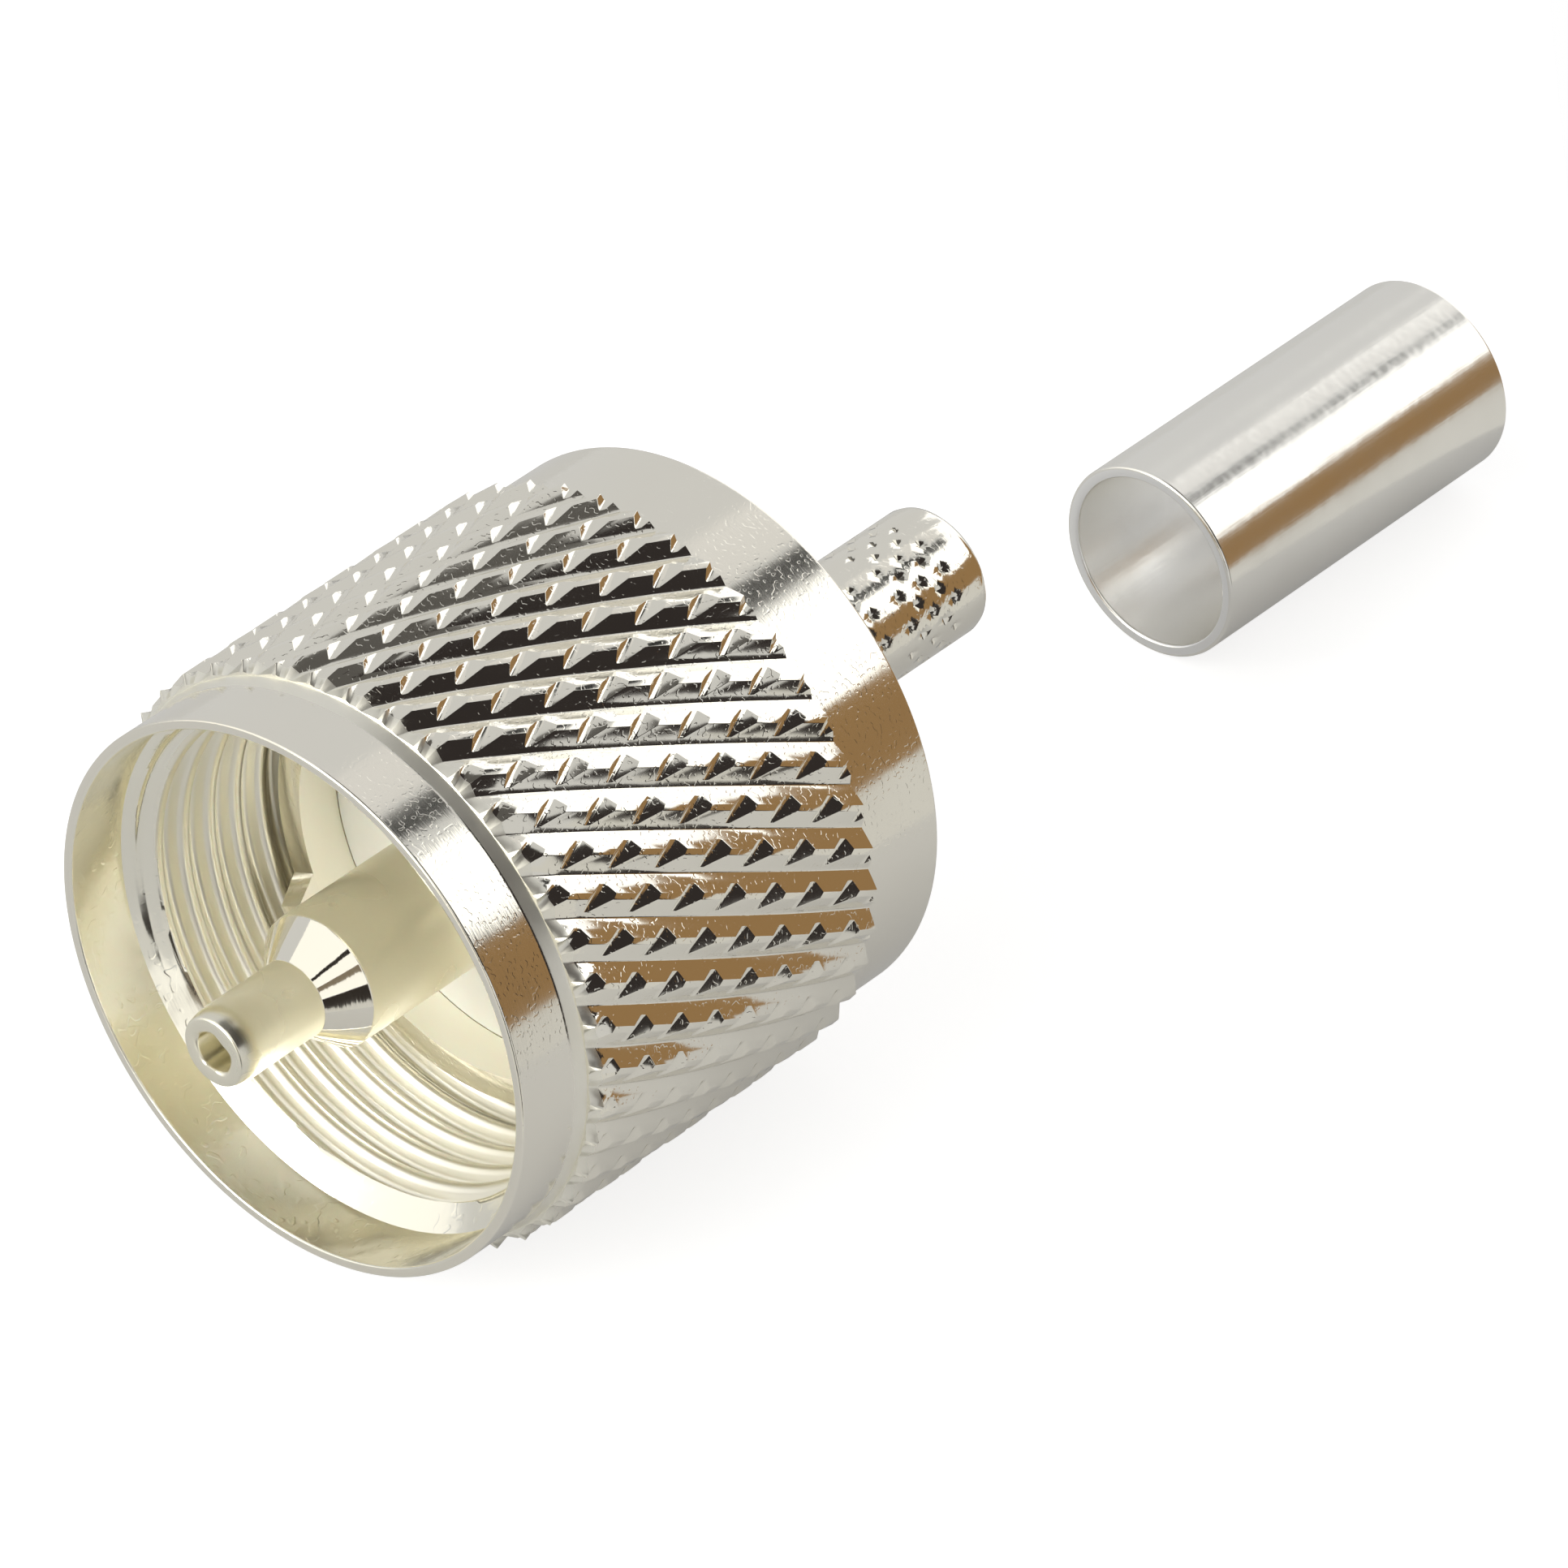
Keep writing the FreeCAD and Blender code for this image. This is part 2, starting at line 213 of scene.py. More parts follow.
def silver(name, colour, polish, ripple, ripple_depth, marks, mark_depth, dents=0.4, dent_depth=0.0):
    """A silver-plated face.

    polish is its lowest and highest roughness. ripple is the plating's wave length, marks the size
    of the tool marks along X, Y and Z, and dents that of the small dents, all in millimetres, like
    the depths of the bumps."""
    material, tree = new_tree(name)
    place = add(tree, "ShaderNodeTexCoord").outputs["Object"]
    waves = add(tree, "ShaderNodeTexNoise", {"Vector": place, "Scale": per_mm(ripple), "Detail": 1.0})
    stretched = add(tree, "ShaderNodeMapping", {
        "Vector": place, "Scale": [per_mm(size) for size in marks]}, vector_type="POINT")
    lines = add(tree, "ShaderNodeTexNoise", {
        "Vector": stretched.outputs["Vector"], "Scale": 1.0, "Detail": 1.0})
    spots = add(tree, "ShaderNodeTexNoise", {"Vector": place, "Scale": per_mm(dents), "Detail": 0.0})
    dent = add(tree, "ShaderNodeMapRange", {
        "Value": spots.outputs["Fac"], "From Min": DENT_RIM, "From Max": DENT_FLOOR,
        "To Max": -dent_depth * MM}, interpolation_type="SMOOTHSTEP")
    with_lines = add(tree, "ShaderNodeMath", {
        0: lines.outputs["Fac"], 1: mark_depth * MM, 2: dent.outputs["Result"]},
        operation="MULTIPLY_ADD")
    relief = add(tree, "ShaderNodeMath", {
        0: waves.outputs["Fac"], 1: ripple_depth * MM, 2: with_lines.outputs["Value"]},
        operation="MULTIPLY_ADD")
    bump = add(tree, "ShaderNodeBump", {
        "Height": relief.outputs["Value"], "Strength": 1.0, "Distance": 1.0})
    patches = add(tree, "ShaderNodeTexNoise", {
        "Vector": place, "Scale": per_mm(PATCH_SIZE), "Detail": 2.0})
    roughness = add(tree, "ShaderNodeMapRange", {
        "Value": patches.outputs["Fac"], "From Min": PATCH_LOW, "From Max": PATCH_HIGH,
        "To Min": polish[0], "To Max": polish[1]})
    tint = add(tree, "ShaderNodeMix", {
        "Factor": patches.outputs["Fac"], "A": linear(colour[0]), "B": linear(colour[1])},
        data_type="RGBA")
    shader = add(tree, "ShaderNodeBsdfPrincipled", {
        "Metallic": 1.0, "Base Color": tint.outputs["Result"],
        "Roughness": roughness.outputs["Result"], "Normal": bump.outputs["Normal"]})
    add(tree, "ShaderNodeOutputMaterial", {"Surface": shader.outputs["BSDF"]})
    return material


# The plain bands of the nut, as they left the lathe: rings finer than a hair, laid round the axis
turned_silver = silver("turned silver plate", ("#F8F5EA", "#F5F1E6"), (0.10, 0.15),
                       ripple=0.8, ripple_depth=0.003, marks=(0.05, 0.5, 0.5), mark_depth=0.0012,
                       dents=0.13, dent_depth=0.0012)
# The knurl: pressed by a hard wheel, so its flanks are burnished bright and slightly wavy
knurled_silver = silver("knurled silver plate", ("#F8F5EA", "#F3EFE3"), (0.07, 0.12),
                        ripple=0.5, ripple_depth=0.0015, marks=(0.7, 0.10, 0.10), mark_depth=0.0003,
                        dents=0.14, dent_depth=0.002)
# The mouth with its lead-in cone: silver over smoothly cut brass
bore_silver = silver("bore silver plate", ("#FAF8EE", "#F8F5E8"), (0.12, 0.20),
                     ripple=0.5, ripple_depth=0.005, marks=(0.05, 1.1, 1.1), mark_depth=0.0008,
                     dents=0.3, dent_depth=0.002)
# The thread, and the strip where the knurl starts: a duller cut that only shows soft light and shade
thread_silver = silver("thread silver plate", ("#FAF8EE", "#F8F5E8"), (0.30, 0.38),
                       ripple=0.6, ripple_depth=0.004, marks=(0.06, 1.1, 1.1), mark_depth=0.0008)
# The pin's cone: polished to a mirror
mirror_silver = silver("mirror silver plate", ("#F8F5EA", "#F6F2E6"), (0.03, 0.06),
                       ripple=0.6, ripple_depth=0.002, marks=(0.06, 0.9, 0.9), mark_depth=0.0005)
# The pin's nose and shank: silver with a soft satin finish
satin_silver = silver("satin silver plate", ("#F8F5E8", "#F5F1DF"), (0.24, 0.34),
                      ripple=0.5, ripple_depth=0.004, marks=(0.05, 0.6, 0.6), mark_depth=0.001)
# The ferrule's cut ends and bore: tumbled and softer than its outside, and given a pure white colour, a
# painted brightening that stands in for more light inside the tube
tumbled_brightened_silver = silver("tumbled silver plate, painted brighter", ("#FFFFFF", "#FFFEFA"), (0.18, 0.25),
                        ripple=0.4, ripple_depth=0.005, marks=(1.5, 0.12, 0.12), mark_depth=0.002)
# The ferrule's outside: a drawn tube, with lines along its length, and satin
drawn_silver = silver("drawn silver plate", ("#FAF8F2", "#F5F3EC"), (0.16, 0.23),
                      ripple=0.45, ripple_depth=0.005, marks=(2.5, 0.10, 0.10), mark_depth=0.0015)
print("the finishes:", sorted(material.name for material in bpy.data.materials))

# %% [markdown]
# ## The coupling nut's knurl
# A knurling wheel with slanted teeth presses deep V grooves round the nut, and a second cut with a
# narrow flat floor crosses them less deeply. What stays between them is a field of small pyramids
# with their tops pressed flat. One diamond is modelled from sixteen listed vertices, and the spin
# operator copies it round the nut, so the pattern closes exactly. A bump map could draw the pattern,
# but not the dark and bright flanks that a real knurl shows, so it is modelled.

# %% The knurl's measures
KNURL_TEETH = 42
CREST_RADIUS = 9.10
GROOVE_DEPTH = 0.30
NOTCH_FLOOR = (0.155, 0.10)  # height of the notch's floor, above the groove's, at its two ends
NOTCH_EDGE = 0.064           # half the floor's width, as a share of the step between notches
LAND_U = (0.45, 0.60)        # where the flat top starts and ends between two grooves
LAND_LEFT = (0.35, 0.37)     # where it starts between two notches, at its upper and lower side
LAND_RIGHT = (0.84, 0.83)    # and where it ends
GROOVE_LEAD = math.radians(26.9)
NOTCH_LEAD = math.radians(24.2)
PEAK_X = 9.19                # one peak's place along the nut
PEAK_TURN = math.radians(137.1)
KNURL_START = 2.45
KNURL_END = 14.03
CREASE_ANGLE = math.radians(18)    # a sharper edge than this is rounded
RIDGE_BEVEL = 0.045          # the tops are worn round
RIDGE_STEPS = 3
VALLEY_BEVEL = 0.035         # and the wheel leaves its own edge radius in each valley
VALLEY_STEPS = 2
SHOULDER_RADIUS = 8.70       # where the nut's front band meets the knurl
FRONT_SLOPE = 0.30           # length of the slope at the knurl's front end
FRONT_HEIGHT = 0.30          # share of the relief that is left at its foot
KNURL_WELD = 0.005           # vertices nearer than this are one, where two diamonds meet

tooth_angle = math.tau / KNURL_TEETH
groove_turn = math.tan(GROOVE_LEAD) / CREST_RADIUS
notch_turn = math.tan(NOTCH_LEAD) / CREST_RADIUS
diamond = tooth_angle / (groove_turn + notch_turn)
print("a diamond is", round(diamond, 3), "mm long")


# %% One diamond
def knurl_point(u, v, height):
    """A point of the diamond: u runs from one groove to the next, and v from notch to notch."""
    along = (v - u) * diamond
    turned = PEAK_TURN + tooth_angle * (u - 0.5) + groove_turn * along
    radius = CREST_RADIUS - GROOVE_DEPTH + height
    return Vector((PEAK_X + along, radius * math.cos(turned), radius * math.sin(turned)))


def diamond_cell(bm):
    """A flat top, four flanks, and half of each groove and notch around it."""
    top, (upper, lower) = GROOVE_DEPTH, NOTCH_FLOOR
    high = LAND_U[0] * upper / top
    low = 1 - (1 - LAND_U[1]) * lower / top
    places = [(0, 0, 0), (high, 0, upper), (low, 0, lower), (1, 0, 0),
              (high, NOTCH_EDGE, upper), (low, NOTCH_EDGE, lower),
              (LAND_U[0], LAND_LEFT[0], top), (LAND_U[1], LAND_LEFT[1], top),
              (LAND_U[0], LAND_RIGHT[0], top), (LAND_U[1], LAND_RIGHT[1], top),
              (high, 1 - NOTCH_EDGE, upper), (low, 1 - NOTCH_EDGE, lower),
              (0, 1, 0), (high, 1, upper), (low, 1, lower), (1, 1, 0)]
    verts = [bm.verts.new(knurl_point(*place)) for place in places]
    for corners in ((0, 1, 4, 10, 13, 12), (4, 6, 8, 10), (3, 15, 14, 11, 5, 2), (5, 11, 9, 7),
                    (1, 2, 5, 4), (4, 5, 7, 6), (10, 11, 14, 13), (8, 9, 11, 10), (6, 7, 9, 8)):
        bm.faces.new([verts[i] for i in corners])


print("its flat top is", round((LAND_RIGHT[0] - LAND_LEFT[0]) * diamond, 2), "mm long")

# %% [markdown]
# The first spin copies the diamond round the nut. The second is a screw: each step moves the whole
# ring on by one diamond and turns it so that the grooves run on. Then the ridges are rounded more
# than the valleys, and bisect planes cut the field off at both ends. One more plane sets off a short
# stretch at the front, where the relief is drawn down to the shoulder in a slope.

# %% The whole knurl
def everything(bm):
    return bm.verts[:] + bm.edges[:] + bm.faces[:]


def round_creases(bm, width, steps, convex):
    creases = [e for e in bm.edges if e.is_manifold and e.is_convex == convex
               and e.calc_face_angle() > CREASE_ANGLE]
    bmesh.ops.bevel(bm, geom=creases, offset=width, offset_type="OFFSET", segments=steps,
                    profile=0.5, affect="EDGES", material=-1, clamp_overlap=True)


def knurl(bm):
    diamond_cell(bm)
    bmesh.ops.spin(bm, geom=everything(bm), cent=CENTRE, axis=AXIS, angle=math.tau - tooth_angle,
                   steps=KNURL_TEETH - 1, use_duplicate=True)
    first = math.floor((KNURL_START - PEAK_X) / diamond) - 1
    rings = math.ceil((KNURL_END - PEAK_X) / diamond) + 1 - first
    bmesh.ops.rotate(bm, verts=bm.verts, cent=CENTRE,
                     matrix=Matrix.Rotation(first * diamond * groove_turn, 3, "X"))
    bmesh.ops.translate(bm, verts=bm.verts, vec=AXIS * first * diamond)
    bmesh.ops.spin(bm, geom=everything(bm), cent=CENTRE, axis=AXIS, dvec=AXIS * diamond,
                   angle=rings * diamond * groove_turn, steps=rings, use_duplicate=True)
    bmesh.ops.remove_doubles(bm, verts=bm.verts, dist=KNURL_WELD)
    bmesh.ops.recalc_face_normals(bm, faces=bm.faces)
    round_creases(bm, RIDGE_BEVEL, RIDGE_STEPS, convex=True)
    round_creases(bm, VALLEY_BEVEL, VALLEY_STEPS, convex=False)
    for x, side, clear in ((KNURL_START + FRONT_SLOPE, -1, False), (KNURL_START, -1, True),
                           (KNURL_END, 1, True)):
        bmesh.ops.bisect_plane(bm, geom=everything(bm), dist=TINY, plane_co=(x, 0, 0),
                               plane_no=(side, 0, 0), clear_outer=clear)
    for vert in [v for v in bm.verts if abs(v.co.x - KNURL_START) < TINY]:
        radius = radius_of(vert.co)
        grow = (SHOULDER_RADIUS + (radius - SHOULDER_RADIUS) * FRONT_HEIGHT) / radius
        vert.co = (vert.co.x, vert.co.y * grow, vert.co.z * grow)
    print("the knurl has", len(bm.faces), "faces")


# %% [markdown]
# ## The coupling thread
# The nut's inside carries a right-handed 5/8-24 thread, with 24 turns to the inch. A spin with a
# small step along the axis draws a screw: after one full turn the profile has moved on by exactly
# one pitch and lands on its own neighbour. The profile is a soft wave, because the plating rounds
# the crests. At the mouth a lead-in cone cuts the wave off, and at the far end a relief groove
# swallows it, so each vertex is pushed out to whichever of these reaches furthest.

# %% The thread
PITCH = 25.4 / 24
THREAD_CREST = 7.45
THREAD_ROOT = 7.94
THREAD_START = 2.0
THREAD_RELIEF = 10.10
MOUTH_RADIUS = 8.25
RELIEF_RADIUS = 7.95
LEAD_IN = 0.60               # the cone from the mouth down to the thread's crest
WAVE_POINTS = 14             # points in one pitch of the profile
WAVE_FLATNESS = 1.6          # 0 is a pure wave, and more flattens its crests and roots
FIRST_CREST = 3.0            # a crest's place above the axis
print("one pitch is", round(PITCH, 3), "mm")


def thread(bm):
    turns = math.ceil((THREAD_RELIEF - THREAD_START) / PITCH) + 2
    start = THREAD_START - 1.5 * PITCH
    middle = (THREAD_CREST + THREAD_ROOT) / 2
    wave = (THREAD_ROOT - THREAD_CREST) / 2
    row = []
    for n in range(turns * WAVE_POINTS + 1):
        x = start + n * PITCH / WAVE_POINTS
        swing = math.tanh(WAVE_FLATNESS * math.cos(math.tau * (x - FIRST_CREST) / PITCH))
        row.append(bm.verts.new((x, 0, middle - wave * swing / math.tanh(WAVE_FLATNESS))))
    lines = [bm.edges.new(pair) for pair in zip(row, row[1:])]
    bmesh.ops.spin(bm, geom=row + lines, cent=CENTRE, axis=AXIS, dvec=AXIS * PITCH / ROUND_STEPS,
                   angle=math.tau, steps=ROUND_STEPS)
    for vert in bm.verts:
        x = min(max(vert.co.x, THREAD_START), THREAD_RELIEF)
        lead_in = MOUTH_RADIUS - (x - THREAD_START) / LEAD_IN * (MOUTH_RADIUS - THREAD_CREST)
        run_out = RELIEF_RADIUS - (THREAD_RELIEF - x)
        radius = max(radius_of(vert.co), lead_in, run_out)
        if x in (THREAD_START, THREAD_RELIEF):
            radius = MOUTH_RADIUS if x == THREAD_START else RELIEF_RADIUS
        grow = radius / radius_of(vert.co)
        vert.co = (x, vert.co.y * grow, vert.co.z * grow)
    bmesh.ops.remove_doubles(bm, verts=bm.verts, dist=TINY)
    print("the thread has", len(bm.faces), "faces")


# %% [markdown]
# ## The nut as one piece
# The knurl, the thread and the turned surfaces are made in meshes of their own and then joined. The
# turned parts end in a circle at the knurl's two ends, and a triangle fill closes the flat ring
# between that circle and the knurl's zigzag outline. Each stretch then gets its own finish.

# %% Join the nut
BAND_RADIUS = 8.575
REAR_RADIUS = 8.62
NUT_LENGTH = 17.20
FRONT_BAND = 2.05
LIP_FRONT = 14.60
LIP_RADIUS = 5.58
OUTER_EDGE = 0.10
RIM_EDGE = 0.08
BAND_EDGE = 0.05
POCKET_EDGE = 0.08
OUTSIDE = 8.4                # a face further from the axis than this is on the nut's outside
LEAD_IN_END = THREAD_START + LEAD_IN
ROUGH_END = KNURL_START + FRONT_SLOPE


def add_mesh(bm, make):
    """Makes a part in a mesh of its own and copies it in."""
    part = bmesh.new()
    make(part)
    mesh = bpy.data.meshes.new("part")
    part.to_mesh(mesh)
    part.free()
    bm.from_mesh(mesh)
    bpy.data.meshes.remove(mesh)


def front_of_nut(bm):
    turn(bm, [(KNURL_START, SHOULDER_RADIUS, 0), (FRONT_BAND, BAND_RADIUS, BAND_EDGE),
              (0, BAND_RADIUS, RIM_EDGE), (0, MOUTH_RADIUS, RIM_EDGE),
              (THREAD_START, MOUTH_RADIUS, 0)])


def rear_of_nut(bm):
    turn(bm, [(THREAD_RELIEF, RELIEF_RADIUS, 0), (LIP_FRONT, RELIEF_RADIUS, POCKET_EDGE),
              (LIP_FRONT, LIP_RADIUS, OUTER_EDGE), (NUT_LENGTH, LIP_RADIUS, OUTER_EDGE),
              (NUT_LENGTH, REAR_RADIUS, OUTER_EDGE), (KNURL_END, REAR_RADIUS, 0)])


def close_ring(bm, x):
    """Fills the flat ring at x between the circle inside and the knurl outside."""
    outline = [e for e in bm.edges if e.is_boundary and all(abs(v.co.x - x) < TINY for v in e.verts)]
    made = bmesh.ops.triangle_fill(bm, edges=outline, use_beauty=True, normal=AXIS)
    print("ring at", x, "closed with", sum(isinstance(g, bmesh.types.BMFace) for g in made["geom"]))


def coupling_nut():
    bm = bmesh.new()
    for part in (front_of_nut, thread, rear_of_nut, knurl):
        add_mesh(bm, part)
    bmesh.ops.remove_doubles(bm, verts=bm.verts, dist=TINY)
    for x in (KNURL_START, KNURL_END):
        close_ring(bm, x)
    paint_faces(bm, 1, lambda c: ROUGH_END < c.x < KNURL_END - TINY and radius_of(c) > OUTSIDE)
    paint_faces(bm, 3, lambda c: FRONT_BAND < c.x < ROUGH_END and radius_of(c) > OUTSIDE)
    paint_faces(bm, 2, lambda c: c.x < LEAD_IN_END and radius_of(c) < OUTSIDE)
    paint_faces(bm, 3, lambda c: LEAD_IN_END < c.x < LIP_FRONT + TINY and radius_of(c) < OUTSIDE)
    finish_piece(bm, "knurled_nut", "nut", "coupling_nut",
                 [turned_silver, knurled_silver, bore_silver, thread_silver])


coupling_nut()

# %% [markdown]
# ## The plug body
# One turned piece holds everything else: a thin shell inside the nut, the flange that the nut pulls
# on, the hub in the nut's rear opening, and the crimp barrel. Two locating teeth stand on the
# shell's rim and drop into slots of the socket. They are made from the rim's own faces, extruded
# and then drawn in along the rim, so that their flanks slope.

# %% Shell, flange and hub
SHELL_FRONT = 7.00
SHELL_RADIUS = 6.95
SHELL_BORE = 6.15
FLANGE_FRONT = 12.50
FLANGE_REAR = 14.50
FLANGE_RADIUS = 7.25
HUB_RADIUS = 5.50
HUB_END = 17.00
BARREL_RADIUS = 2.05
BARREL_BORE = 1.55
BARREL_END = 27.20
POCKET_FLOOR = 12.00
POCKET_END = 15.50
TAIL_RADIUS = 2.60
BODY_EDGE = 0.08
TOOTH_TURNS = (math.radians(-34.6), math.radians(145.4))
TOOTH_HEIGHT = 0.86
TOOTH_FOOT = math.radians(11.2)    # half its width at the rim
TOOTH_TOP = math.radians(6.2)      # half its width at the top
print("a tooth is", round(2 * TOOTH_FOOT * SHELL_RADIUS, 2), "mm wide at its foot")


def turn_of(place):
    """The angle round the axis, from +Y towards +Z."""
    return math.atan2(place.z, place.y)


def off_centre(angle, centre):
    return (angle - centre + math.pi) % math.tau - math.pi


def raise_tooth(bm, centre):
    foot = [f for f in bm.faces if abs(f.calc_center_median().x - SHELL_FRONT) < TINY
            and abs(off_centre(turn_of(f.calc_center_median()), centre)) < TOOTH_FOOT]
    made = bmesh.ops.extrude_face_region(bm, geom=foot)["geom"]
    top = [g for g in made if isinstance(g, bmesh.types.BMVert)]
    for vert in top:
        drawn_in = off_centre(turn_of(vert.co), centre) * (1 - TOOTH_TOP / TOOTH_FOOT)
        bmesh.ops.rotate(bm, verts=[vert], cent=CENTRE, matrix=Matrix.Rotation(-drawn_in, 3, "X"))
    bmesh.ops.translate(bm, verts=top, vec=-AXIS * TOOTH_HEIGHT)
    bmesh.ops.delete(bm, geom=foot, context="FACES_ONLY")


# %% [markdown]
# The crimp barrel grips the cable's braid with two bands of small pits. The pits stand in a
# staggered lattice, so one rhombus with a pit in its middle tiles the whole band, as the diamond
# does on the nut: one spin copies it round the barrel, and a screw of half a step makes the rows.

# %% The pitted bands
PIT_TURNS = 14
PIT_ROW = 0.475
PIT_ROWS = 5
PIT_DEPTH = 0.10
PIT_LENGTH = 0.18            # half, along the barrel
PIT_WIDTH = 0.22             # half, round the barrel
PIT_TURN = math.radians(7.0)
BANDS = (20.75, 23.80)       # first pit row of each band
LAND_STEPS = 6               # cuts along a rhombus side, so that the land follows the round barrel
JOINT = 0.03                 # the strip that joins a band to the plain barrel
BAND_WELD = 0.002            # vertices nearer than this are one, where two rhombi meet


def on_barrel(x, turned, depth=0.0):
    radius = BARREL_RADIUS - depth
    return Vector((x, radius * math.cos(turned), radius * math.sin(turned)))


def rhombus(bm, length, turn_width):
    """The corners and side points of a rhombus on the barrel, round x = 0."""
    tips = [Vector((-1, 0)), Vector((0, -1)), Vector((1, 0)), Vector((0, 1)), Vector((-1, 0))]
    places = [a.lerp(b, n / LAND_STEPS) for a, b in zip(tips, tips[1:]) for n in range(LAND_STEPS)]
    return [bm.verts.new(on_barrel(p.x * length, p.y * turn_width)) for p in places]


def pit_ring(bm, row_x, turned, depth):
    """One row of rhombi round the barrel, each with a pit of that depth, or plain."""
    outer = rhombus(bm, PIT_ROW, math.pi / PIT_TURNS)
    inner = rhombus(bm, PIT_LENGTH, PIT_WIDTH / BARREL_RADIUS)
    floor = bm.verts.new(on_barrel(0, 0, depth))
    for i in range(len(outer)):
        bm.faces.new((outer[i - 1], outer[i], inner[i], inner[i - 1]))
        bm.faces.new((inner[i - 1], inner[i], floor))
    bmesh.ops.spin(bm, geom=everything(bm), cent=CENTRE, axis=AXIS,
                   angle=math.tau * (1 - 1 / PIT_TURNS), steps=PIT_TURNS - 1, use_duplicate=True)
    bmesh.ops.rotate(bm, verts=bm.verts, cent=CENTRE, matrix=Matrix.Rotation(turned, 3, "X"))
    bmesh.ops.translate(bm, verts=bm.verts, vec=AXIS * row_x)


def pitted_band(bm, first_x):
    half_step = math.pi / PIT_TURNS
    add_mesh(bm, lambda part: pit_ring(part, first_x, PIT_TURN, PIT_DEPTH))
    bmesh.ops.spin(bm, geom=everything(bm), cent=CENTRE, axis=AXIS, dvec=AXIS * PIT_ROW,
                   angle=(PIT_ROWS - 1) * half_step, steps=PIT_ROWS - 1, use_duplicate=True)
    for row, side in ((-1, -1), (PIT_ROWS, 1)):
        x = first_x + row * PIT_ROW
        add_mesh(bm, lambda part: pit_ring(part, x, PIT_TURN + row * half_step, 0.0))
        bmesh.ops.bisect_plane(bm, geom=everything(bm), dist=TINY, plane_co=(x, 0, 0),
                               plane_no=(side, 0, 0), clear_outer=True)
    bmesh.ops.remove_doubles(bm, verts=bm.verts, dist=BAND_WELD)
    print("the band at", first_x, "has", len(bm.faces), "faces")


# %% [markdown]
# The barrel's plain stretches stop just short of each band, and a bridge of narrow faces joins the
# two outlines, so that the body stays one closed skin.

# %% Make the body
BARREL_MOUTH_EDGE = 0.10
BARREL_END_EDGE = 0.30


def open_ring(bm, x):
    return [e for e in bm.edges if e.is_boundary and all(abs(v.co.x - x) < TINY for v in e.verts)]


def body_shell(bm):
    turn(bm, [(BANDS[0] - PIT_ROW - JOINT, BARREL_RADIUS, 0), (HUB_END, BARREL_RADIUS, 0),
              (HUB_END, HUB_RADIUS, BODY_EDGE), (FLANGE_REAR, HUB_RADIUS, 0),
              (FLANGE_REAR, FLANGE_RADIUS, BODY_EDGE), (FLANGE_FRONT, FLANGE_RADIUS, BODY_EDGE),
              (FLANGE_FRONT, SHELL_RADIUS, 0), (SHELL_FRONT, SHELL_RADIUS, 0),
              (SHELL_FRONT, SHELL_BORE, 0), (POCKET_FLOOR, SHELL_BORE, 0),
              (POCKET_FLOOR, TAIL_RADIUS, 0), (POCKET_END, TAIL_RADIUS, 0),
              (POCKET_END, BARREL_BORE, 0), (BARREL_END, BARREL_BORE, BARREL_MOUTH_EDGE),
              (BARREL_END, BARREL_RADIUS, BARREL_END_EDGE),
              (BANDS[1] + PIT_ROWS * PIT_ROW + JOINT, BARREL_RADIUS, 0)])
    for centre in TOOTH_TURNS:
        raise_tooth(bm, centre)


def between_bands(bm):
    turn(bm, [(BANDS[0] + PIT_ROWS * PIT_ROW + JOINT, BARREL_RADIUS, 0),
              (BANDS[1] - PIT_ROW - JOINT, BARREL_RADIUS, 0)])


def plug_body():
    bm = bmesh.new()
    add_mesh(bm, body_shell)
    add_mesh(bm, between_bands)
    for first_x in BANDS:
        add_mesh(bm, lambda part: pitted_band(part, first_x))
        for x, side in ((first_x - PIT_ROW, -1), (first_x + PIT_ROWS * PIT_ROW, 1)):
            bmesh.ops.bridge_loops(bm, edges=open_ring(bm, x) + open_ring(bm, x + side * JOINT))
    paint_faces(bm, 1, lambda c: SHELL_FRONT < c.x < POCKET_END and radius_of(c) < SHELL_BORE + TINY)
    finish_piece(bm, "turned_body", "plug", "plug_body",
                 [turned_silver, bore_silver])


plug_body()

# %% [markdown]
# ## The centre pin
# The pin is a hollow tube with a narrow nose, where the cable's conductor is soldered, a polished
# cone, and a shank of 4 mm. All of it is turned, so it is one spin. Only the mouth of the hole is
# not round: old solder and the plating leave it uneven, so its ring of vertices is pushed in and
# out a little by a sum of two waves.

# %% Make the pin
PIN_TIP = -3.09
PIN_TIP_RADIUS = 1.06
PIN_NOSE_RADIUS = 1.165
PIN_NOSE_END = 0.14
PIN_CONE_END = 1.19
PIN_RADIUS = 2.05
PIN_STEM_RADIUS = 1.10
PIN_STEM_END = 14.50
PIN_BORE = 0.60
PIN_TAPER = 0.5              # the length over which the nose narrows to its tip
MOUTH_EDGE = 0.10            # edge radii: the hole's mouth, the tip, the taper, and the cone's two ends
TIP_EDGE = 0.08
TAPER_EDGE = 0.2
CONE_FOOT_EDGE = 0.02
CONE_TOP_EDGE = 0.05
INSULATOR_FRONT = 8.50
RIM_DEPTH = 0.15             # how far down the hole its uneven rim reaches
RIM_RADIUS = 0.80            # and how far out
RIM_OVAL = 0.10              # the share by which it is out of round
RIM_OVAL_TURN = 0.6          # radians
RIM_BUMPS = 0.05             # and the share that five small bumps add


